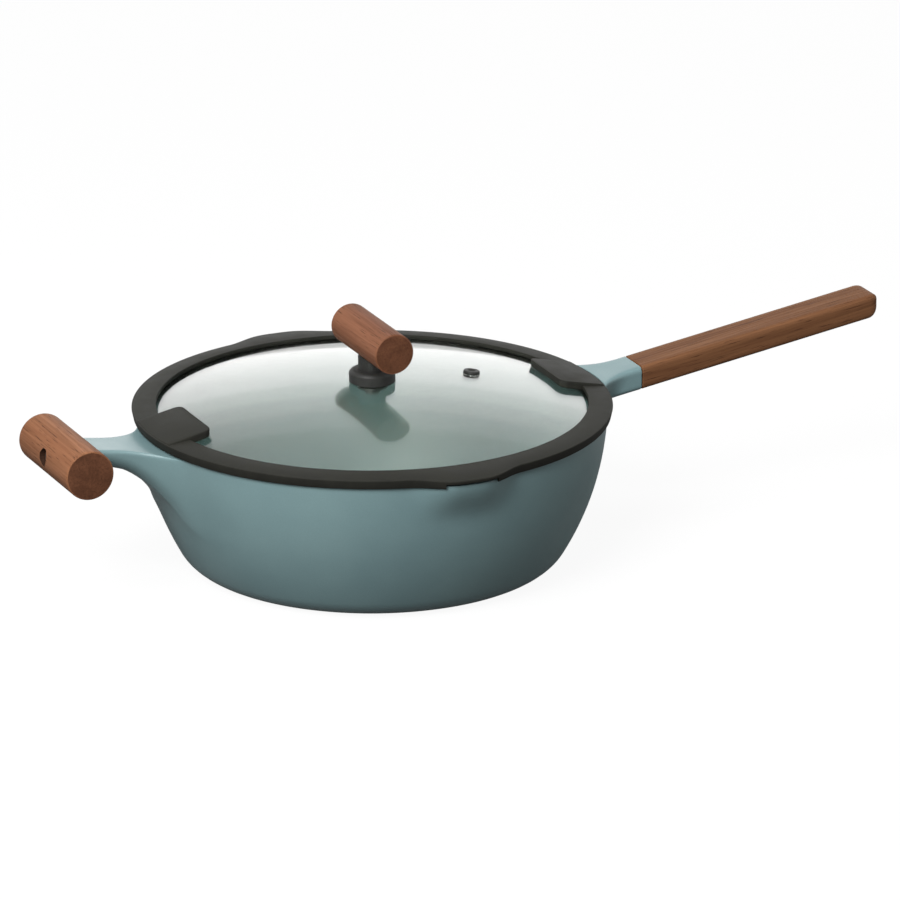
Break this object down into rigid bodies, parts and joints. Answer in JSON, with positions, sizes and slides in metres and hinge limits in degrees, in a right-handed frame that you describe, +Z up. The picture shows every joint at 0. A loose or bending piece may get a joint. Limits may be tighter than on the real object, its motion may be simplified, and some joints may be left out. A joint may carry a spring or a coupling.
{
  "type": "frying pan with lid",
  "caption": "Deep round frying pan with pouring spouts, a long wooden handle, a wooden helper handle, and a domed glass lid with a silicone rim and a wooden knob that lifts off.",
  "frame": {"origin": "centre of the pan's foot, on the surface that it stands on", "axes": "+X along the long handle, +Z up, and -Y towards one of the two pouring spouts"},
  "size_m": [0.5362, 0.3016, 0.1484],
  "materials": {
    "coated_aluminium": "satin",
    "steel": "satin",
    "walnut": "matte",
    "silicone": "matte",
    "glass": "gloss",
    "black_plastic": "satin",
    "brass": "satin"
  },
  "bodies": {
    "pan": {"pan_body": "coated_aluminium", "induction_disc": "steel", "long_handle_grip": "walnut", "long_handle_screw_front": "steel", "long_handle_screw_rear": "steel", "helper_grip": "walnut", "helper_screw": "steel", "helper_washer": "steel"},
    "lid": {"lid_rim": "silicone", "lid_glass": "glass", "vent_eyelet": "black_plastic", "vent_washer": "steel", "knob_post": "black_plastic", "knob_grip": "walnut", "knob_gasket_upper": "silicone", "knob_gasket_lower": "silicone", "knob_washer": "steel", "knob_insert": "brass", "knob_screw": "steel"}
  },
  "joints": [
    {"name": "lid_lift", "type": "slide", "parent": "pan", "child": "lid", "axis": [0, 0, 1], "range_m": [0, 0.15]}
  ]
}
